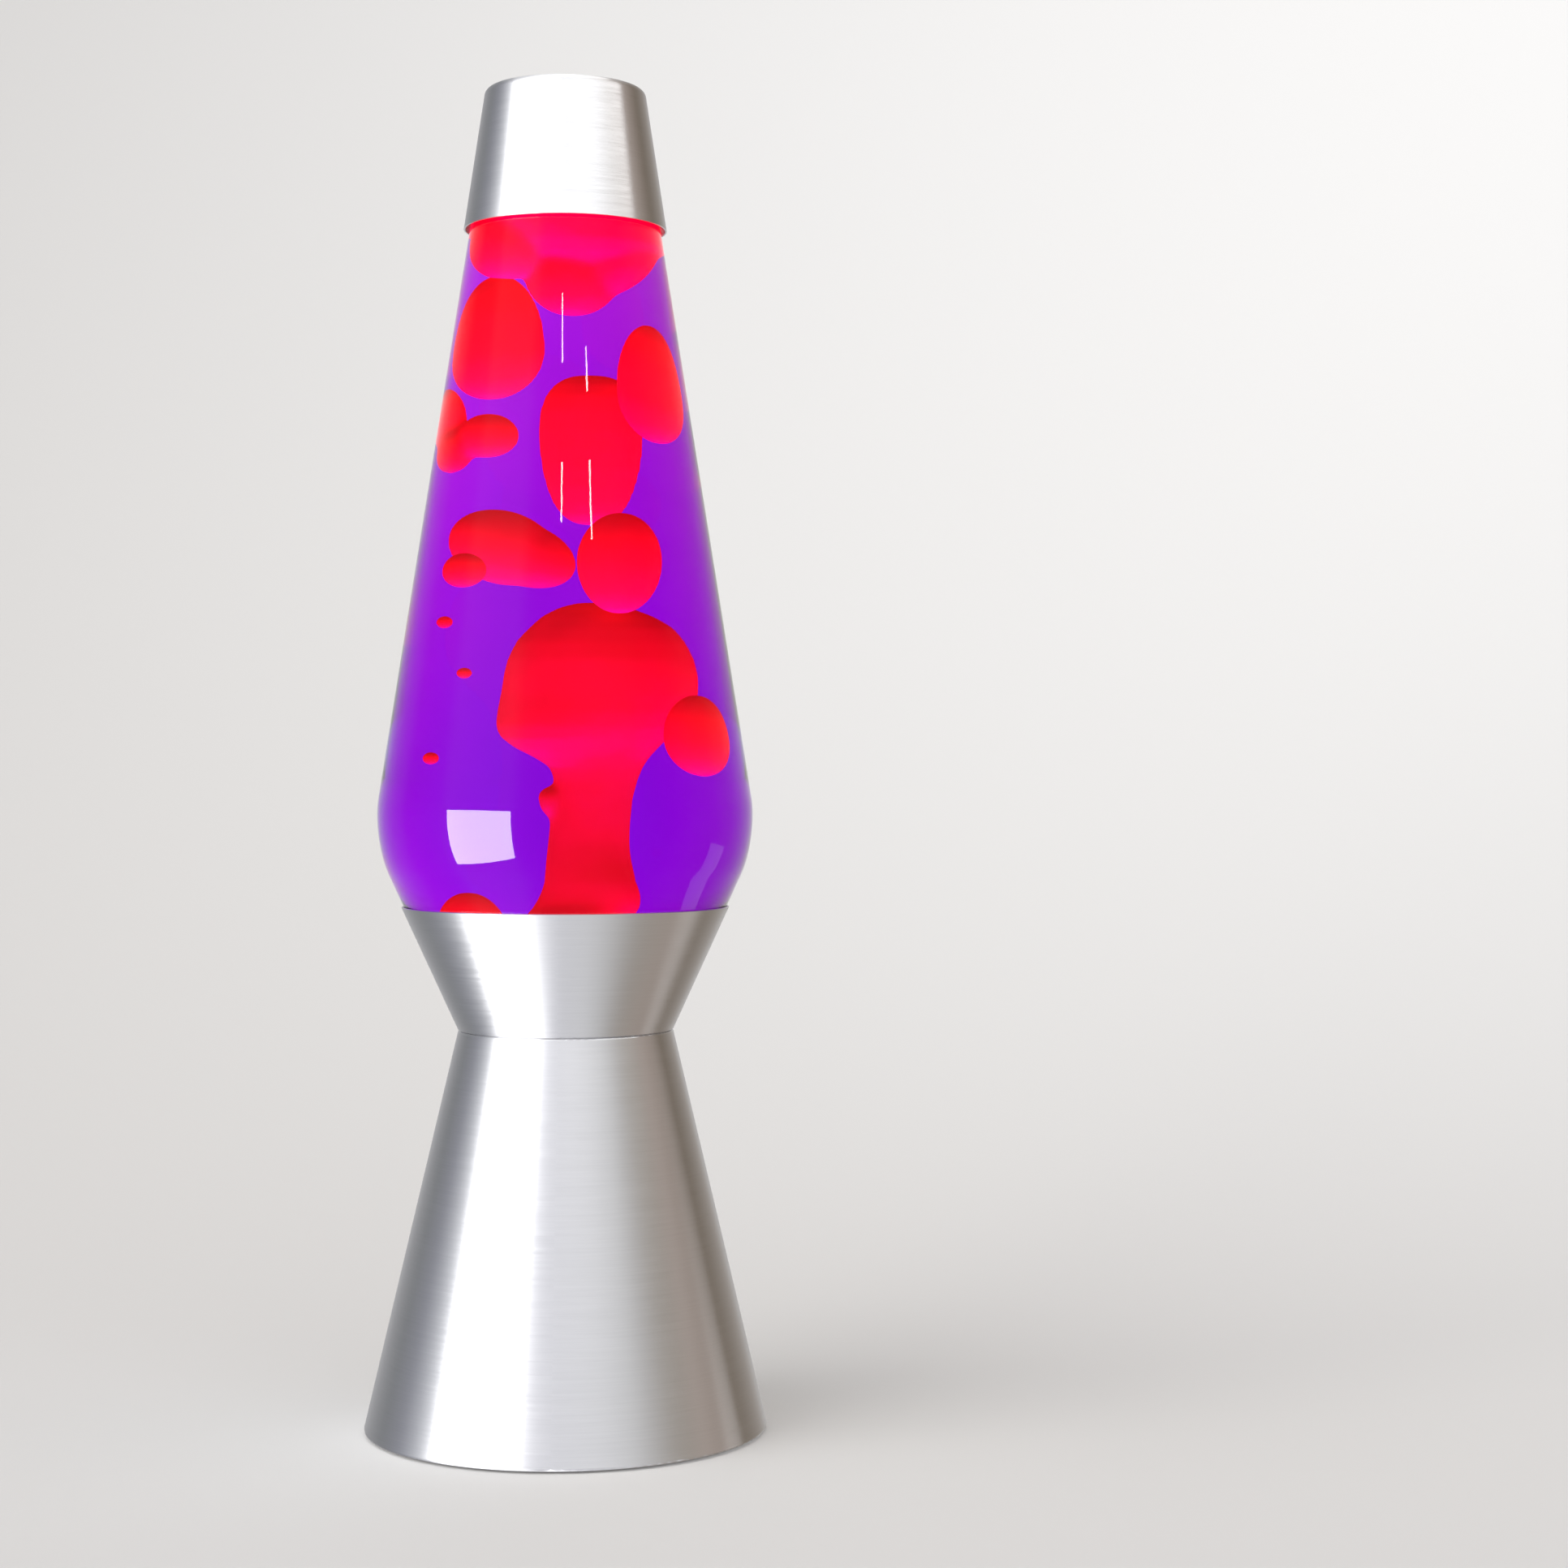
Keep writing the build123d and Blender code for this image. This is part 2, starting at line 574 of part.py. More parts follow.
def lump(x, y, height, girth, reach=0, tip=0, lean=0, grow=0):
    """A drop of wax: a ball drawn out, over reach, to a smaller ball, upwards or leaning to +X by
    lean degrees. Height and reach are shares of the liquid's depth; the rest are shares of the
    globe's inside radius at the ball's height."""
    middle = INSIDE_FLOOR + height * LIQUID_DEPTH
    wide = inside_radius(middle)
    place = Pos(x * wide, y * wide, middle) * Rot(0, lean, 0)
    ball, small, away = girth * wide + grow, tip * wide + grow, reach * LIQUID_DEPTH
    if not reach:
        return place * Sphere(ball)
    taper = asin((ball - small) / away)
    outline = [
        CenterArc((0, 0), ball, -90, 90 + degrees(taper)),
        Line((ball * cos(taper), ball * sin(taper)), (small * cos(taper), away + small * sin(taper))),
        CenterArc((0, away), small, degrees(taper), 90 - degrees(taper)),
        Line((0, away + small), (0, -ball)),
    ]
    return place * turned(make_face(outline))


def flowing(flank, bends, grow):
    """The section of a mass of wax that is turned, both ends of its flank on the axis. Radii are
    shares of the belly's inside radius, heights shares of the liquid's depth."""
    corners = [(max(r * belly_inside, grow), INSIDE_FLOOR + h * LIQUID_DEPTH) for r, h in flank]
    section = make_face(rounded_line(corners + corners[:1], bends + [0]))
    return offset(section, grow, kind=Kind.INTERSECTION) if grow else section


# The wax that has settled: a pool over the coil, a waisted column that rises from it to a heavy
# head, and a dome that stands beside the column's foot.
pool_top = INSIDE_FLOOR + POOL_DEPTH
column_place = Pos(0.105 * belly_inside, 0.084 * belly_inside)
column_flank = [
    (0, 0.05), (0.47, 0.05), (0.178, 0.187), (0.178, 0.244), (0.402, 0.336), (0.381, 0.418),
    (0.23, 0.469), (0, 0.469),
]
column_bends = [0, 40, 20, 30, 26, 22]
dome_height = (POOL_DEPTH + DOME_RISE) / LIQUID_DEPTH
dome = (-0.41, -0.31, dome_height, 0.21)


def settled_wax(grow):
    """The pool and what rises from it, as the masses that run together in it."""
    return [
        cavity & disc(CUP_RIM_RADIUS * 2, 0, pool_top + grow),
        column_place * turned(flowing(column_flank, column_bends, grow)),
        lump(*dome, grow=grow),
    ]


# Wax that has risen and spread under the surface, with a lobe hanging from its middle.
risen_flank = [
    (0, 0.986), (0.4, 0.986), (0.543, 0.938), (0.522, 0.89), (0.2, 0.849), (0.146, 0.812), (0, 0.812),
]
risen_bends = [14, 12, 14, 10, 9]


def risen_wax(grow):
    """The floating wax, kept a film's thickness off the glass."""
    film = (WAX_FILM - grow) / cos(UPPER_SLANT)
    room = [(inside_radius(z) - film, z) for z in (BELLY_HEIGHT, LIQUID_TOP)]
    room_section = make_face(Polyline((0, BELLY_HEIGHT), *room, (0, LIQUID_TOP), close=True))
    return turned(flowing(risen_flank, risen_bends, grow) & room_section)


# Drops that hang in the liquid, and three small beads.
drops = {
    "wax_drop_high_left": (-0.48, -0.11, 0.75, 0.335, 0.064, 0.21),
    "wax_drop_high_right": (0.63, -0.21, 0.696, 0.262, 0.068, 0.172),
    "wax_drop_centre": (0.13, 0.19, 0.688, 0.305, 0.103, 0.196, 180),
    "wax_drop_left_wall": (-0.79, 0.01, 0.701, 0.165, 0.054, 0.155, 180),
    "wax_drop_left": (-0.47, -0.25, 0.663, 0.194),
    "wax_drop_middle_left": (-0.32, 0.04, 0.529, 0.28, 0.02, 0.26, 105),
    "wax_drop_middle_right": (0.33, -0.255, 0.528, 0.247, 0.045, 0.165, 180),
    "wax_drop_small_left": (-0.57, -0.34, 0.506, 0.135),
    "wax_drop_low_right": (0.685, -0.25, 0.309, 0.197, 0.015, 0.192),
    "wax_bead_1": (-0.62, -0.15, 0.446, 0.043),
    "wax_bead_2": (-0.48, -0.17, 0.386, 0.036),
    "wax_bead_3": (-0.6, -0.16, 0.288, 0.038),
}
for node, place in drops.items():
    save(node, lump(*place))
save("wax_at_top", risen_wax(0))

# ---- Heating coil ----

# The steel coil that keeps the wax together lies on the floor of the globe, under the pool.
coil_height = INSIDE_FLOOR + COIL_THICKNESS + COIL_LIFT
coil = Pos(0, 0, coil_height) * Torus(COIL_RADIUS, COIL_THICKNESS)
save("heat_coil", coil)
pool, *risers = settled_wax(0)
save("wax_pool_and_column", pool + risers - coil)

# ---- Liquid ----

# Tinted liquid fills the globe to just under the cap's rim, round the wax.
liquid = cavity & disc(CUP_RIM_RADIUS * 2, 0, LIQUID_TOP)
for wax in [lump(*place, grow=WAX_GAP) for place in drops.values()] + settled_wax(WAX_GAP):
    liquid -= wax
save("lamp_liquid", liquid - risen_wax(WAX_GAP))
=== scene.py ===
from math import cos, pi, radians, sin, tan

import bmesh
import bpy
from mathutils import Matrix, Vector


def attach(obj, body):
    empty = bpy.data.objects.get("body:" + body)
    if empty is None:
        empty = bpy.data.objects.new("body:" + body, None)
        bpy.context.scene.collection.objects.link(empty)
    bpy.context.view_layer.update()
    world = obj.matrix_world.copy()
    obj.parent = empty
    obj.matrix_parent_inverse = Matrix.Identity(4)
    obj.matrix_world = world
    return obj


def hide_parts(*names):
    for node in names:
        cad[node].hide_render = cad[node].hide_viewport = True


# Lava lamp: spun aluminium stand and cap, a glass globe of violet liquid and red wax, and the bulb
# that warms it. Metres, +Z up, front at -Y. Sizes in the sections are in millimetres.
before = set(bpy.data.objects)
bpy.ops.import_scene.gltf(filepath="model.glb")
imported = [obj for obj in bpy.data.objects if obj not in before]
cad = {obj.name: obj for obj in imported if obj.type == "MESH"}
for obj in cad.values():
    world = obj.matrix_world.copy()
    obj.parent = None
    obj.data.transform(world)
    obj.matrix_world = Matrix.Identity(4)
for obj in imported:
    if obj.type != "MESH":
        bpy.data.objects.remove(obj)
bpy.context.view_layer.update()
MM = 0.001


# ---- Studio ----
# A pale floor that curves up all round into a pale wall, seen by the eye and through the globe.
# Metal and glass mirror the room instead: a tall window to the left, walls, and darker corners.

def linear(hex_code):
    """An sRGB hex colour as linear red, green and blue."""
    parts = [int(hex_code[i:i + 2], 16) / 255 for i in (1, 3, 5)]
    return [p / 12.92 if p <= 0.04045 else ((p + 0.055) / 1.055) ** 2.4 for p in parts]


def add_node(tree, kind, links=None, values=None, **settings):
    """Add a node, set its properties, its sockets' values and what feeds them; return the node."""
    made = tree.nodes.new(kind)
    for name, value in settings.items():
        setattr(made, name, value)
    for name, value in (values or {}).items():
        made.inputs[name].default_value = value
    for name, source in (links or {}).items():
        tree.links.new(source, made.inputs[name])
    return made


def set_ramp(ramp_node, stops):
    """Give a colour ramp its stops, each (position, linear colour)."""
    ramp = ramp_node.color_ramp
    for i, (position, colour) in enumerate(stops):
        stop = ramp.elements[i] if i < 2 else ramp.elements.new(position)
        stop.position = position
        stop.color = (*colour, 1)
    return ramp_node


def turned(name, outline, bends=None, steps=128):
    """Revolve an outline of (radius, height) in mm about the axis; bends rounds its corners."""
    bm = bmesh.new()
    points = [bm.verts.new((r * MM, 0, z * MM)) for r, z in outline]
    for a, b in zip(points, points[1:]):
        bm.edges.new((a, b))
    if outline[0] == outline[-1]:
        bmesh.ops.remove_doubles(bm, verts=bm.verts, dist=1e-7)
    bm.verts.ensure_lookup_table()
    corners = [points[i] for i in sorted(bends or {})]
    for corner, bend in zip(corners, [bends[i] for i in sorted(bends or {})]):
        ways = [(e.other_vert(corner).co - corner.co).normalized() for e in corner.link_edges]
        turn = pi - ways[0].angle(ways[1])
        bmesh.ops.bevel(
            bm, geom=[corner], offset=bend * MM * tan(turn / 2), offset_type="OFFSET",
            segments=max(3, round(turn * bend ** 0.5 * 5)), profile=0.5, affect="VERTICES",
            material=-1,
        )
    bmesh.ops.spin(
        bm, geom=bm.verts[:] + bm.edges[:], cent=(0, 0, 0), axis=(0, 0, 1), dvec=(0, 0, 0),
        angle=2 * pi, steps=steps, use_merge=True,
    )
    bmesh.ops.remove_doubles(bm, verts=bm.verts, dist=1e-6)
    bmesh.ops.recalc_face_normals(bm, faces=bm.faces)
    return bm


def make_piece(name, bm, materials, smooth=40):
    """Turn a bmesh into a named object with its materials, smooth but for edges over an angle."""
    mesh = bpy.data.meshes.new(name)
    bm.to_mesh(mesh)
    bm.free()
    piece = bpy.data.objects.new(name, mesh)
    bpy.context.scene.collection.objects.link(piece)
    for material in materials:
        mesh.materials.append(material)
    mesh.set_sharp_from_angle(angle=radians(smooth))
    mesh.shade_smooth()
    mesh.set_sharp_from_angle(angle=radians(smooth))
    return piece


scene = bpy.context.scene
scene.view_settings.view_transform = "Standard"

camera = bpy.data.objects.new("camera", bpy.data.cameras.new("camera"))
camera.data.sensor_width = 36
camera.data.lens = 68.2
camera.data.clip_end = 30
camera.location = (0.112, -1.525, 0.3427)
camera.rotation_euler = (radians(90 - 0.454), 0, 0)
scene.collection.objects.link(camera)
scene.camera = camera

# The room as a reflection sees it, by bearing from the front (-Y), left negative: the window lies
# between -78 and -24 degrees, its light wall in front, and darker, warmer corners to both sides.
room = [
    (-180, "#D8D8D8", 1.0), (-150, "#A8A8AA", 1.0), (-124, "#8A8C8E", 1.0), (-104, "#9C9DA6", 1.0),
    (-92, "#C6C8CE", 1.0), (-80, "#F4F6FA", 1.1), (-72, "#FFFFFF", 2.2), (-32, "#FFFFFF", 2.2),
    (-23, "#F6F6FC", 1.15), (-14, "#EAEAF0", 1.0), (0, "#E6E6EA", 1.0), (24, "#EAEAEC", 1.0),
    (44, "#DCDCDC", 1.0), (56, "#C2C0BE", 1.0), (68, "#ACA69E", 1.0), (78, "#AAA298", 1.0),
    (90, "#BCAFA6", 1.0), (104, "#AC9E94", 1.0), (122, "#7C7062", 1.0), (150, "#A49C94", 1.0),
    (180, "#D8D8D8", 1.0),
]
world = bpy.data.worlds.new("studio")
scene.world = world
world.use_nodes = True
tree = world.node_tree
tree.nodes.clear()
way = add_node(tree, "ShaderNodeTexCoord").outputs["Generated"]
parts = add_node(tree, "ShaderNodeSeparateXYZ", {"Vector": way}).outputs
front = add_node(tree, "ShaderNodeMath", {0: parts["Y"]}, {1: -1.0}, operation="MULTIPLY")
bearing = add_node(tree, "ShaderNodeMath", {0: parts["X"], 1: front.outputs[0]},
                   operation="ARCTAN2")
share = add_node(tree, "ShaderNodeMath", {0: bearing.outputs[0]}, {1: 1 / (2 * pi), 2: 0.5},
                 operation="MULTIPLY_ADD")
walls = add_node(tree, "ShaderNodeValToRGB", {"Fac": share.outputs[0]})
set_ramp(walls, [((b + 180) / 360, [c * level for c in linear(shade)]) for b, shade, level in room])
# Mirror-sharp glass is shown a dimmer room than satin metal is, as through a polarising filter.
paths = add_node(tree, "ShaderNodeLightPath").outputs
# The glass's very edges look back past the lamp, where the filter lets the bright wall through.
aside = add_node(tree, "ShaderNodeMath", {0: bearing.outputs[0]}, operation="ABSOLUTE")
dimmed = add_node(tree, "ShaderNodeMapRange", {"Value": aside.outputs[0]},
                  {"From Min": 1.9, "From Max": 2.6, "To Min": 0.12, "To Max": 1.4})
filtered = add_node(tree, "ShaderNodeMix", {"Factor": paths["Is Singular Ray"],
                                            "B": dimmed.outputs["Result"]}, {"A": 1.0})
seen = add_node(tree, "ShaderNodeBackground", {"Color": walls.outputs[0],
                                               "Strength": filtered.outputs["Result"]})
plain = add_node(tree, "ShaderNodeBackground", values={"Color": (*linear("#F0F0F0"), 1)})
both = add_node(tree, "ShaderNodeMixShader",
                {0: paths["Is Camera Ray"], 1: seen.outputs[0], 2: plain.outputs[0]})
add_node(tree, "ShaderNodeOutputWorld", {"Surface": both.outputs[0]})

pale = bpy.data.materials.new("pale_matt_board")
pale.use_nodes = True
pale.node_tree.nodes["Principled BSDF"].inputs["Base Color"].default_value = (*linear("#DCDBD9"), 1)
pale.node_tree.nodes["Principled BSDF"].inputs["Roughness"].default_value = 0.9
pale.node_tree.nodes["Principled BSDF"].inputs["Specular IOR Level"].default_value = 0.1
ROOM_RADIUS, ROOM_HEIGHT, ROOM_BEND = 2600, 3000, 2300
floor = make_piece("floor", turned(
    "floor", [(0, 0), (ROOM_RADIUS, 0), (ROOM_RADIUS, ROOM_HEIGHT)], {1: ROOM_BEND}, 96), [pale])
for ray in ("glossy", "shadow", "diffuse"):
    setattr(floor, "visible_" + ray, False)


# These lights make the lamp's highlights; the floor and wall are lit by the room alone.
on_the_lamp = bpy.data.collections.new("on_the_lamp")
on_the_lamp.objects.link(floor)
on_the_lamp.collection_objects[0].light_linking.link_state = "EXCLUDE"


def add_light(name, bearing_deg, distance, low, high, width, radiance, lit=on_the_lamp):
    """An upright softbox facing the lamp's axis; sizes in metres, bearing from the front."""
    lamp = bpy.data.lights.new(name, "AREA")
    lamp.shape = "RECTANGLE"
    lamp.size, lamp.size_y = width, high - low
    lamp.energy = radiance * pi * width * (high - low)
    holder = bpy.data.objects.new(name, lamp)
    scene.collection.objects.link(holder)
    a = radians(bearing_deg)
    holder.location = (distance * sin(a), -distance * cos(a), (low + high) / 2)
    holder.rotation_euler = (radians(90), 0, a)
    holder.visible_camera = False
    holder.visible_transmission = False
    holder.light_linking.receiver_collection = lit
    return holder


add_light("window", -49, 1.25, -0.50, 0.50, 1.08, 5.0)
add_light("high_softbox", -35, 0.95, 1.0, 1.5, 1.7, 1.8)
add_light("high_softbox_right", 49, 0.95, 1.0, 1.5, 1.7, 1.8)
add_light("side_card", 109, 1.0, -0.60, 0.10, 0.26, 0.4)
overhead = bpy.data.lights.new("overhead", "AREA")
overhead.shape = "DISK"
overhead.size = 1.6
overhead.energy = 9.0
overhead_holder = bpy.data.objects.new("overhead", overhead)
overhead_holder.location = (0.2, 0.2, 2.3)
overhead_holder.visible_camera = False
overhead_holder.visible_transmission = False
scene.collection.objects.link(overhead_holder)
sky = bpy.data.lights.new("ceiling_glow", "SUN")
sky.angle = radians(100)
sky.energy = 0.25
sky_holder = bpy.data.objects.new("ceiling_glow", sky)
scene.collection.objects.link(sky_holder)


# ---- Stand and cap: spun aluminium ----
# The cone, the cup and the cap are spun from aluminium sheet on a lathe, brushed as they turn and
# lacquered. The finish runs in rings round the axis, so each light becomes a tall upright streak.

def lit_surface(name, **values):
    """A material of one principled shader with its uniform values; returns it, its tree, shader."""
    material = bpy.data.materials.new(name)
    material.use_nodes = True
    shader = material.node_tree.nodes["Principled BSDF"]
    for socket, value in values.items():
        shader.inputs[socket.replace("_", " ")].default_value = value
    return material, material.node_tree, shader


def brushed_aluminium(name, shade, ring_spacing, roughness):
    """Satin aluminium, brushed in rings: fine bright and dull lines at the given spacing in mm."""
    material, tree, shader = lit_surface(name, Metallic=1.0, Anisotropic=0.9,
                                         Anisotropic_Rotation=0.25)
    where = add_node(tree, "ShaderNodeTexCoord").outputs["Object"]
    xyz = add_node(tree, "ShaderNodeSeparateXYZ", {"Vector": where}).outputs
    across = add_node(tree, "ShaderNodeVectorMath", {0: where}, {1: (1, 1, 0)},
                      operation="MULTIPLY")
    radius = add_node(tree, "ShaderNodeVectorMath", {0: across.outputs[0]}, operation="LENGTH")
    turn = add_node(tree, "ShaderNodeMath", {0: xyz["X"], 1: xyz["Y"]}, operation="ARCTAN2")
    slow_turn = add_node(tree, "ShaderNodeMath", {0: turn.outputs[0]}, {1: 0.002},
                         operation="MULTIPLY")
    rings = add_node(tree, "ShaderNodeCombineXYZ", {"X": radius.outputs["Value"], "Y": xyz["Z"],
                                                    "Z": slow_turn.outputs[0]})
    fine = add_node(tree, "ShaderNodeTexNoise", {"Vector": rings.outputs[0]},
                    {"Scale": 1 / (ring_spacing * MM), "Detail": 3.0, "Roughness": 0.7})
    dull = add_node(tree, "ShaderNodeMapRange", {"Value": fine.outputs["Fac"]},
                    {"From Min": 0.3, "From Max": 0.7, "To Min": roughness - 0.05,
                     "To Max": roughness + 0.05})
    tree.links.new(dull.outputs["Result"], shader.inputs["Roughness"])
    tone = add_node(tree, "ShaderNodeMix", {"Factor": fine.outputs["Fac"]}, data_type="RGBA")
    tone.inputs["A"].default_value = (*[c * 0.93 for c in linear(shade)], 1)
    tone.inputs["B"].default_value = (*[min(1, c * 1.07) for c in linear(shade)], 1)
    tree.links.new(tone.outputs["Result"], shader.inputs["Base Color"])
    scratch = add_node(tree, "ShaderNodeBump", {"Height": fine.outputs["Fac"]},
                       {"Strength": 0.05, "Distance": 0.0002})
    tree.links.new(scratch.outputs["Normal"], shader.inputs["Normal"])
    round_axis = add_node(tree, "ShaderNodeVectorMath", {1: where}, {0: (0, 0, 1)},
                          operation="CROSS_PRODUCT")
    tree.links.new(round_axis.outputs[0], shader.inputs["Tangent"])
    return material


def finish(material, *nodes):
    """Give pieces that keep their own shape a finish."""
    for node in nodes:
        cad[node].data.materials.clear()
        cad[node].data.materials.append(material)


finish(brushed_aluminium("brushed_spun_aluminium", "#DCDCDE", 1.1, 0.33),
       "base_cone", "base_cup", "cap_shell")


# ---- Cord grommet and feet: rubber ----
# Soft black rubber, moulded and left matt: the grommet snaps into the cone's wall and guards the
# cord's way in, and four buttons push into the bottom plate and keep the lamp from sliding.

def grained(name, shades, grain, gloss, relief, **values):
    """A finish that varies over grain mm: between two shades, two roughnesses and relief in mm."""
    material, tree, shader = lit_surface(name, **values)
    where = add_node(tree, "ShaderNodeTexCoord").outputs["Object"]
    fine = add_node(tree, "ShaderNodeTexNoise", {"Vector": where},
                    {"Scale": 1 / (grain * MM), "Detail": 4.0, "Roughness": 0.6})
    tone = set_ramp(add_node(tree, "ShaderNodeValToRGB", {"Fac": fine.outputs["Fac"]}),
                    [(0.32, linear(shades[0])), (0.68, linear(shades[1]))])
    tree.links.new(tone.outputs[0], shader.inputs["Base Color"])
    sheen = add_node(tree, "ShaderNodeMapRange", {"Value": fine.outputs["Fac"]},
                     {"From Min": 0.32, "From Max": 0.68, "To Min": gloss[0], "To Max": gloss[1]})
    tree.links.new(sheen.outputs["Result"], shader.inputs["Roughness"])
    rough = add_node(tree, "ShaderNodeBump", {"Height": fine.outputs["Fac"]},
                     {"Strength": 1.0, "Distance": relief * MM})
    tree.links.new(rough.outputs["Normal"], shader.inputs["Normal"])
    return material


finish(grained("matt_black_rubber", ("#121212", "#201F1E"), 0.7, (0.62, 0.8), 0.02),
       "cord_grommet", "rubber_foot_1", "rubber_foot_2", "rubber_foot_3", "rubber_foot_4")


# ---- Bottom plate: moulded plastic ----
# Heat-proof black plastic with a spark-eroded texture, let into the cone's foot and held by screws.
finish(grained("textured_black_plastic", ("#17181A", "#26272A"), 0.35, (0.42, 0.58), 0.03),
       "bottom_plate")


# ---- Bracket and fasteners: zinc-plated steel ----
# A bent strip hangs from the waist and carries the lampholder. It and its screws, washers and nuts
# are steel with a bright zinc plate that has clouded a little, bluer here and yellower there.
finish(grained("clouded_zinc_plate", ("#A9ADB0", "#CBC8BC"), 5.0, (0.24, 0.4), 0.004, Metallic=1.0),
       "socket_bracket", "plate_screws", "waist_screws", "waist_lock_washers", "waist_nuts",
       "nipple_lock_washer", "nipple_locknut")


# ---- Lampholder ----
# A phenolic body, black-brown with a faint mottle of its wood filler. The screw shell, the sprung
# contact, the terminal screws and the threaded tube that clamps the holder are heat-dulled brass.
finish(grained("moulded_phenolic", ("#15100D", "#2A201A"), 0.9, (0.3, 0.44), 0.01), "socket_body")
finish(grained("heat_dulled_brass", ("#9C7A34", "#CDAA5C"), 3.0, (0.2, 0.4), 0.004, Metallic=1.0),
       "socket_screw_shell", "socket_centre_contact", "socket_terminal_screws", "mounting_nipple")


# ---- Bulb ----
# A clear bulb: a blown envelope, a rolled nickel-plated screw cap with black glass round its solder
# tip, and a flared glass mount whose wires carry a coiled tungsten filament, lit.
finish(grained("clear_lamp_glass", ("#FBFDFD", "#FFFFFF"), 12.0, (0.0, 0.015), 0.002,
               Transmission_Weight=1.0, IOR=1.5), "bulb_envelope", "bulb_stem")
finish(grained("nickel_plated_cap", ("#B9B6AE", "#D2D0CA"), 2.0, (0.18, 0.32), 0.003, Metallic=1.0),
       "bulb_screw_cap")
finish(grained("dull_solder", ("#8E8F8F", "#B4B4B0"), 1.0, (0.35, 0.55), 0.06, Metallic=1.0),
       "bulb_tip_contact")
finish(grained("black_cap_glass", ("#08080A", "#121216"), 2.5, (0.06, 0.14), 0.01),
       "bulb_insulator")
finish(grained("glowing_tungsten", ("#6E6A64", "#8A857C"), 0.3, (0.4, 0.6), 0.01, Metallic=1.0,
               Emission_Color=(*linear("#FFC68A"), 1), Emission_Strength=6.0), "bulb_filament")


# ---- Globe closure ----
# A crimped crown of lacquered tinplate grips the bead round the globe's mouth and presses a soft
# white sealing disc on it. The cap rests on this lid and hides it.
finish(grained("lacquered_tinplate", ("#CFCDC4", "#E0DED6"), 2.0, (0.2, 0.32), 0.004, Metallic=1.0),
       "globe_lid")
finish(grained("soft_liner_foam", ("#DAD6C8", "#EEEBE0"), 0.5, (0.7, 0.85), 0.04),
       "globe_lid_liner")


# ---- Globe glass ----
# The globe is a blown soda-lime bottle, clear and polished, with a punt in its floor and a bead
# round its mouth. Its wall is 3 mm thick and follows the cup, so it simply stands in it.
GLASS_WALL = 3.0
bottle_outline = [
    (0, 210.4), (44.9, 208.9), (46.55, 205.6), (54.156, 205.6), (98.753, 303), (40.1, 668),
    (15.8, 671), (15.8, 675), (17.2, 676.4), (17.2, 683.2), (13.0, 683.2),
]
bottle_bends = {3: 5, 4: 68, 5: 14, 6: 4}


def blown_glass(name, **values):
    """Soda-lime glass, faintly green in places, with the shallow ripple that blowing leaves."""
    material, tree, shader = lit_surface(name, Roughness=0.0, IOR=1.5, Transmission_Weight=1.0,
                                         **values)
    where = add_node(tree, "ShaderNodeTexCoord").outputs["Object"]
    ripple = add_node(tree, "ShaderNodeTexNoise", {"Vector": where},
                      {"Scale": 1 / (22 * MM), "Detail": 1.0, "Roughness": 0.4})
    tint = set_ramp(add_node(tree, "ShaderNodeValToRGB", {"Fac": ripple.outputs["Fac"]}),
                    [(0.3, linear("#FCFEFD")), (0.7, linear("#FFFFFF"))])
    tree.links.new(tint.outputs[0], shader.inputs["Base Color"])
    wave = add_node(tree, "ShaderNodeBump", {"Height": ripple.outputs["Fac"]},
                    {"Strength": 1.0, "Distance": 0.05 * MM})
    tree.links.new(wave.outputs["Normal"], shader.inputs["Normal"])
    return material


clear_glass = blown_glass("clear_soda_lime_glass")
# Where the liquid wets the glass there is next to no mirror image, so the inner skin has none.
wetted_glass = blown_glass("wetted_soda_lime_glass", Specular_Tint=(0, 0, 0, 1))
bottle = make_piece("globe_glass", turned("globe_glass", bottle_outline, bottle_bends, 192),
                    [clear_glass, wetted_glass], 50)
wall = bottle.modifiers.new("wall", "SOLIDIFY")
wall.thickness = GLASS_WALL * MM
wall.offset = -1
wall.use_even_offset = True
wall.material_offset = 1
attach(bottle, "globe")
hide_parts("globe_bottle")

# What the polished glass mirrors: the window, low on the left, a door's edge on the right, and
# four thin strips of light down the front. The metal's own lights are kept off the glass.
on_the_lamp.objects.link(bottle)
on_the_lamp.collection_objects[1].light_linking.link_state = "EXCLUDE"
on_the_glass = bpy.data.collections.new("on_the_glass")
on_the_glass.objects.link(bottle)
add_light("window_in_glass", -48.5, 1.25, -0.33, 0.415, 0.95, 13.0, on_the_glass)
add_light("door_edge_in_glass", 109, 1.0, -0.60, 0.10, 0.26, 0.5, on_the_glass)
STRIP_WIDTH, STRIP_DISTANCE = 0.022, 1.2
for bearing_deg, low, high in ((0.5, 0.933, 0.999), (0.5, 1.109, 1.189), (24, 0.908, 0.996),
                               (24, 1.073, 1.123)):
    add_light("strip_in_glass", bearing_deg, STRIP_DISTANCE, low, high, STRIP_WIDTH, 20.0,
              on_the_glass)


# ---- Liquid ----
# Water with glycol and a violet dye: clear, so light crosses it, and deeper in colour where there
# is more of it to cross. It wets the glass, so it starts just inside the wall's inner skin.
OVER_GLASS = 0.2
LIQUID_FLOOR, LIQUID_LEVEL = 215.4, 652.0

violet_liquid, tree, shader = lit_surface(
    "violet_dyed_liquid", Roughness=0.0, IOR=1.33, Transmission_Weight=1.0,
    Specular_Tint=(0, 0, 0, 1),
)
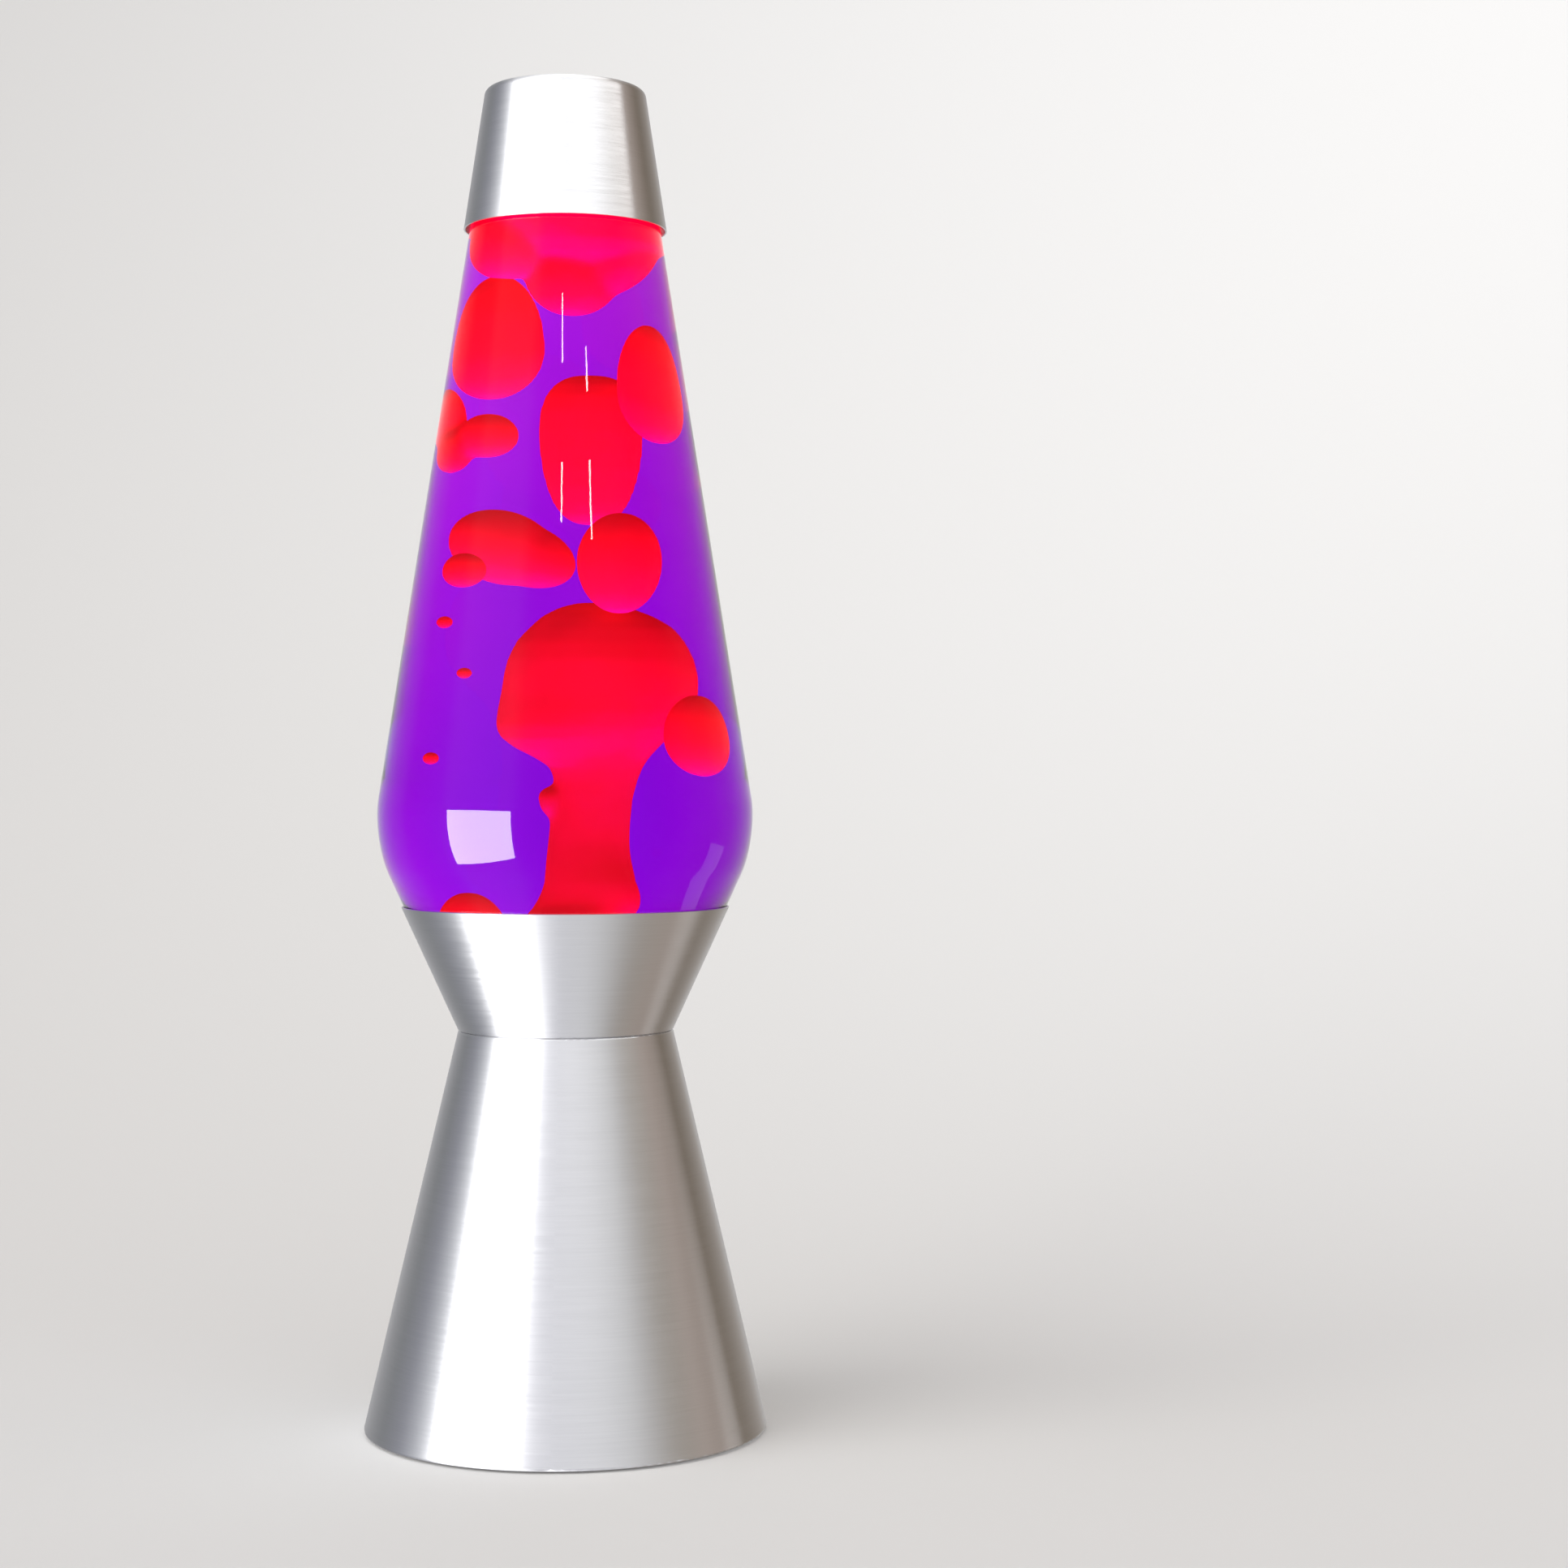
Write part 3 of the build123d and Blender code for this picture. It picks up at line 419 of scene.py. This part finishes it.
# A trace of melted wax clouds it towards the bulb, and it clears towards the top.
where = add_node(tree, "ShaderNodeTexCoord").outputs["Object"]
height = add_node(tree, "ShaderNodeSeparateXYZ", {"Vector": where}).outputs["Z"]
climb = add_node(tree, "ShaderNodeMapRange", {"Value": height},
                 {"From Min": LIQUID_FLOOR * MM, "From Max": LIQUID_LEVEL * MM})
clearing = set_ramp(add_node(tree, "ShaderNodeValToRGB", {"Fac": climb.outputs["Result"]}),
                    [(0.0, linear("#FFFAFD")), (1.0, linear("#FFFFFF"))])
tree.links.new(clearing.outputs[0], shader.inputs["Base Color"])
dye = add_node(tree, "ShaderNodeVolumeAbsorption",
               values={"Color": (0.86, 0.0, 1.0, 1), "Density": 45.0})
tree.links.new(dye.outputs[0], tree.nodes["Material Output"].inputs["Volume"])
bm = turned("lamp_liquid_clear", bottle_outline[2:], {1: 5, 2: 68, 3: 14, 4: 4}, 192)
bm.normal_update()
for v in bm.verts:
    out = Vector((v.co.x, v.co.y, 0)).normalized()
    side = v.normal if v.normal.dot(out) > 0 else -v.normal
    v.co -= side * (GLASS_WALL - OVER_GLASS) * MM
for level, up in ((LIQUID_FLOOR, -1), (LIQUID_LEVEL, 1)):
    cut = bmesh.ops.bisect_plane(
        bm, geom=bm.verts[:] + bm.edges[:] + bm.faces[:], plane_co=(0, 0, level * MM),
        plane_no=(0, 0, up), clear_outer=True,
    )
    rim = [e for e in cut["geom_cut"] if isinstance(e, bmesh.types.BMEdge)]
    bmesh.ops.contextual_create(bm, geom=rim)
bmesh.ops.recalc_face_normals(bm, faces=bm.faces)
liquid = make_piece("violet_liquid", bm, [violet_liquid], 50)
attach(liquid, "globe")
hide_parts("lamp_liquid")


# ---- Wax ----
# Dyed red wax, warmed and lit from below by the bulb: a painted glow, dark on top, pink under.
# Each mass is a few swollen balls that have run together and been drawn smooth.

# Strength of the wax's painted glow, an emission that stands in for the bulb's light inside it.
WAX_GLOW = 1.55


def red_wax_painted_glow():
    """Translucent wax with a painted glow for the bulb's light in it, falling off towards its upper
    side.
    """
    material, tree, shader = lit_surface(
        "red_wax_painted_glow", Roughness=0.5, Specular_IOR_Level=0.0, Base_Color=(*linear("#BC000A"), 1),
        Emission_Strength=WAX_GLOW,
    )
    facing = add_node(tree, "ShaderNodeNewGeometry").outputs["Normal"]
    up = add_node(tree, "ShaderNodeSeparateXYZ", {"Vector": facing}).outputs["Z"]
    where = add_node(tree, "ShaderNodeTexCoord").outputs["Object"]
    cloud = add_node(tree, "ShaderNodeTexNoise", {"Vector": where},
                     {"Scale": 60.0, "Detail": 3.0, "Roughness": 0.55})
    drift = add_node(tree, "ShaderNodeMath", {0: cloud.outputs["Fac"]}, {1: 0.24, 2: -0.12},
                     operation="MULTIPLY_ADD")
    tilt = add_node(tree, "ShaderNodeMath", {0: up, 1: drift.outputs[0]}, operation="ADD")
    level = add_node(tree, "ShaderNodeMapRange", {"Value": tilt.outputs[0]},
                     {"From Min": -1.0, "From Max": 1.0, "To Min": 0.0, "To Max": 1.0})
    # Painted shade: the glow is pink on downward faces and dark red on upward ones, by facing
    # alone.
    glow = set_ramp(
        add_node(tree, "ShaderNodeValToRGB", {"Fac": level.outputs[0]}),
        [(at, linear(shade)) for at, shade in (
            (0.0, "#FF0086"), (1.0, "#9C0007"), (0.1, "#FF0065"), (0.27, "#FF0042"),
            (0.5, "#FD0028"), (0.68, "#DF0017"), (0.84, "#B8000F"))],
    )
    tree.links.new(glow.outputs[0], shader.inputs["Emission Color"])
    return material


red_wax = red_wax_painted_glow()


def add_rings(bm, rings, segments=32):
    """Loft a closed mass through flat rings, each (height, left, right, y, half depth) in mm."""
    below = None
    for height, left, right, y, half in rings:
        place = Matrix.Translation(((left + right) / 2 * MM, y * MM, height * MM))
        place @= Matrix.Diagonal(((right - left) / 2 * MM, half * MM, 1, 1))
        made = bmesh.ops.create_circle(bm, segments=segments, radius=1, matrix=place)["verts"]
        loop = list({e for v in made for e in v.link_edges})
        if below:
            bmesh.ops.bridge_loops(bm, edges=below + loop)
        else:
            bmesh.ops.contextual_create(bm, geom=loop)
        below = loop
    bmesh.ops.contextual_create(bm, geom=below)


def egg(x, y, low, widest, high, girth, lean=0, depth=None):
    """Rings for an egg of wax, its crown set over by lean mm; girth and depth are half sizes."""
    rings = []
    for i in range(1, 24):
        turn = pi * i / 24
        reach = widest - low if turn < pi / 2 else high - widest
        height = widest - reach * cos(turn)
        middle = x + lean * (height - widest) / reach
        half = girth * sin(turn)
        rings.append((height, middle - half, middle + half, y, (depth or girth) * sin(turn)))
    return rings


def wax_mass(name, lofts, body, nodes, grain=1.3, ease=14):
    """One mass of wax from overlapping lofts: joined, drawn smooth, and carried by a body."""
    bm = bmesh.new()
    for rings in lofts:
        add_rings(bm, rings)
    bmesh.ops.recalc_face_normals(bm, faces=bm.faces)
    blank = make_piece(name + "_blank", bm, [red_wax])
    joined = blank.modifiers.new("join", "REMESH")
    joined.mode = "VOXEL"
    joined.voxel_size = grain * MM
    eased = blank.modifiers.new("ease", "SMOOTH")
    eased.factor, eased.iterations = 0.5, ease
    mesh = bpy.data.meshes.new_from_object(
        blank.evaluated_get(bpy.context.evaluated_depsgraph_get()))
    bpy.data.objects.remove(blank)
    mesh.name = name
    mass = bpy.data.objects.new(name, mesh)
    scene.collection.objects.link(mass)
    mesh.materials.clear()
    mesh.materials.append(red_wax)
    mesh.shade_smooth()
    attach(mass, body)
    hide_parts(*nodes)
    return mass


wax_mass("wax_high_left", [egg(-27.5, -6.5, 523, 546, 587, 19.8, 1.5, 18.5)], "globe",
         ["wax_drop_high_left"])
wax_mass("wax_high_right", [egg(38.8, -12.8, 501, 524, 562, 16.5, -2.8, 15.5)], "drop_high_right",
         ["wax_drop_high_right"])
centre_flank = [
    (536.3, 5), (535, 9), (531.5, 13.2), (526, 16.4), (518, 18.4), (508, 19), (498, 18.7),
    (488, 17.8), (478, 16), (470, 13.6), (464, 10.4), (460.5, 6.5), (459.4, 3),
]
wax_mass("wax_centre", [[(z, 8.4 - r, 8.4 + r, 12, r) for z, r in centre_flank]], "drop_centre",
         ["wax_drop_centre"])
wax_mass("wax_left", [
    egg(-48.5, -1, 499, 513, 531, 10.5, 0, 9.5), egg(-46, -8, 486, 497, 509, 9.8),
    egg(-31, -14, 493, 504, 516, 13.5, 0, 12), egg(-39, -11, 494, 500, 507, 9),
], "globe", ["wax_drop_left_wall", "wax_drop_left"], ease=24)
wax_mass("wax_middle_left", [
    egg(-24, 3, 428, 447.5, 467.5, 20.5, -4, 19.5), egg(-14, 3, 426.5, 442, 460, 17.5, -4, 17),
], "globe", ["wax_drop_middle_left"], ease=24)
wax_mass("wax_small_left", [egg(-42, -26.5, 427.5, 436, 445, 10.5, 0, 8)], "globe",
         ["wax_drop_small_left"], 0.8, 6)
wax_mass("wax_middle_right", [egg(24, -18.5, 414, 441, 465.5, 18.2, 0.5, 17.5)],
         "drop_middle_right", ["wax_drop_middle_right"])
wax_mass("wax_low_right", [egg(60.3, -22, 332.5, 351, 374, 17.4, -1.5, 16.5)], "drop_low_right",
         ["wax_drop_low_right"])
for number, (x, y, z, r) in enumerate(((-48.5, -12, 410, 3.6), (-40, -14, 384, 3.2),
                                       (-54, -14, 341, 3.6)), 1):
    wax_mass(f"wax_speck_{number}", [egg(x, y, z - 0.85 * r, z, z + 0.85 * r, r)], "globe",
             [f"wax_bead_{number}"], 0.4, 4)
wax_mass("wax_risen", [
    [(646, -36, 38, 2, 37), (642, -39.5, 41.5, 2, 41), (634, -41, 43, 2, 42),
     (626, -42, 44.5, 2, 43), (618, -42, 46, 2, 43), (611, -38, 46, 2, 40), (604, -30, 43, 0, 34),
     (598, -20, 37, -2, 26), (593, -10, 29, -3, 18)],
    egg(3, -3, 565.5, 588, 622, 19, 0, 18), egg(-23, -9, 584, 604, 630, 18.5, 0, 19),
    egg(22, -3, 576, 600, 626, 17, 8, 18),
], "globe", ["wax_at_top"], ease=28)
column = [
    (419.5, 4, 18, 8, 8), (417, -3, 24, 8, 14), (412.5, -9.5, 33, 8, 21), (407, -14, 40, 8, 26),
    (400, -19, 44.5, 8, 30), (391, -22.3, 48, 8, 33), (382, -24, 49.8, 8, 34),
    (373, -25, 49.8, 8, 34.5), (364, -26.3, 47.4, 7, 34), (357, -27, 43.5, 6, 32),
    (351, -25.4, 39, 6, 29), (345.5, -20, 35, 6, 25), (340.5, -12.5, 31.5, 6, 21.5),
    (335.5, -6.5, 29, 6, 19), (329, -5, 27, 6, 17.5), (319, -5.5, 25, 6, 16.5),
    (311, -6.6, 24, 6, 16), (304, -7.4, 23.8, 6, 16), (297, -8, 24.8, 5, 16.5),
    (290, -8.8, 27.2, 4, 17.5), (284, -10.4, 28.6, 4, 18), (278, -13, 28.2, 5, 20),
    (272, -16.5, 24.5, 5, 24), (264, -22, 25, 5, 30), (256, -38, 40, 4, 40),
    (248, -58, 60, 1, 58),
]
wax_mass("wax_column", [
    column[::-1],
    [(217, -56, 56, 0, 56), (222, -58.5, 58.5, 0, 58.5), (232, -63.5, 63.5, 0, 63.5),
     (241, -67.5, 67.5, 0, 67.5), (246.5, -68, 68, 0, 68), (249.3, -62, 62, 0, 62)],
    egg(-39, -30, 226, 258, 283, 17.5, 0, 17), egg(-6, 3, 314, 320, 326, 5, 0, 8),
], "globe", ["wax_pool_and_column"], ease=18)


# ---- Heating coil ----
# A close spring of steel wire bent into a ring that lies in the pool and keeps the wax together.
RING_RADIUS, SPRING_RADIUS, WIRE = 38.0, 3.5, 1.0
COIL_HEIGHT, COIL_TURNS = 219.9, 96
steel_wire = grained("drawn_steel_wire", ("#8E8E8C", "#A8A8A4"), 0.8, (0.28, 0.42), 0.004,
                     Metallic=1.0)
line = bpy.data.curves.new("coil_line", "CURVE")
line.dimensions = "3D"
spring = line.splines.new("POLY")
steps = COIL_TURNS * 12
spring.points.add(steps - 1)
for i, point in enumerate(spring.points):
    along, round_wire = 2 * pi * i / steps, 2 * pi * i * COIL_TURNS / steps
    reach = RING_RADIUS + SPRING_RADIUS * cos(round_wire)
    point.co = (reach * cos(along) * MM, reach * sin(along) * MM,
                (COIL_HEIGHT + SPRING_RADIUS * sin(round_wire)) * MM, 1)
spring.use_cyclic_u = True
line.bevel_depth = WIRE / 2 * MM
line.bevel_resolution = 1
drawn = bpy.data.objects.new("coil_line", line)
scene.collection.objects.link(drawn)
coil_mesh = bpy.data.meshes.new_from_object(
    drawn.evaluated_get(bpy.context.evaluated_depsgraph_get()))
bpy.data.objects.remove(drawn)
coil = bpy.data.objects.new("heating_coil", coil_mesh)
scene.collection.objects.link(coil)
coil_mesh.materials.clear()
coil_mesh.materials.append(steel_wire)
coil_mesh.shade_smooth()
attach(coil, "globe")
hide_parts("heat_coil")
